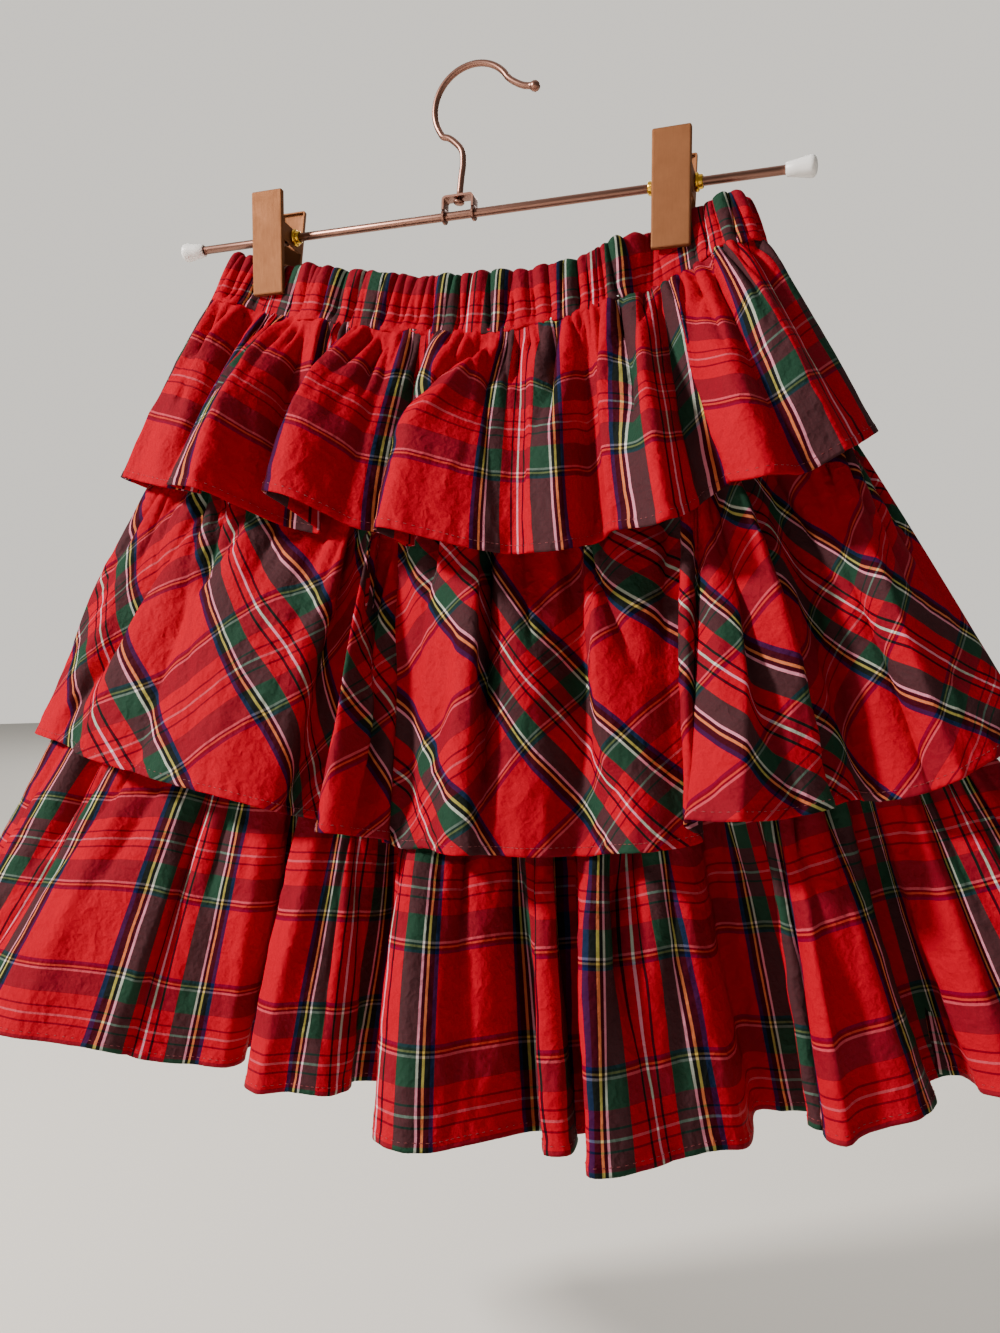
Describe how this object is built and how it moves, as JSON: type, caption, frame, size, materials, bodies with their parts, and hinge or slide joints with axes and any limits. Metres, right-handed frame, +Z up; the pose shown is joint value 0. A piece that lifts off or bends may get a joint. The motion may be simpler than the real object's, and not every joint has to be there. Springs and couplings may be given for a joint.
{
  "type": "tiered ruffle skirt on a clip hanger",
  "caption": "Tartan skirt with three gathered ruffle tiers on an elasticated waistband, held flat by the two clips of a metal clip hanger with a swan-neck hook.",
  "frame": {"origin": "the point inside the top of the hanger's hook where a rod or a wall hook carries it", "axes": "+Z up, +X across the waist to the wearer's left as worn and to the right as seen from the front, -Y out of the skirt's front"},
  "size_m": [0.6652, 0.115, 0.5155],
  "materials": {
    "cloth": "crisp plain-woven tartan, mostly red with green, navy, yellow and white lines, slight sheen",
    "wire": "rose gold plated steel, softly polished",
    "clip": "copper coloured plated sheet, satin",
    "bushing": "bright gold coloured metal",
    "cap": "soft off-white plastic"
  },
  "bodies": {
    "root": {"waistband_front": "cloth", "waistband_back": "cloth", "base_front": "cloth", "base_back": "cloth", "tier_1_front": "cloth", "tier_1_back": "cloth", "tier_2_front": "cloth", "tier_2_back": "cloth", "tier_3_front": "cloth", "tier_3_back": "cloth", "hanger_rod": "wire", "hook_wire": "wire", "hook_bracket": "wire", "rod_cap_left": "cap", "rod_cap_right": "cap", "clip_left_front": "clip", "clip_left_back": "clip", "clip_left_spring": "wire", "clip_left_bush_left": "bushing", "clip_left_bush_right": "bushing", "clip_right_front": "clip", "clip_right_back": "clip", "clip_right_spring": "wire", "clip_right_bush_left": "bushing", "clip_right_bush_right": "bushing"}
  },
  "joints": []
}
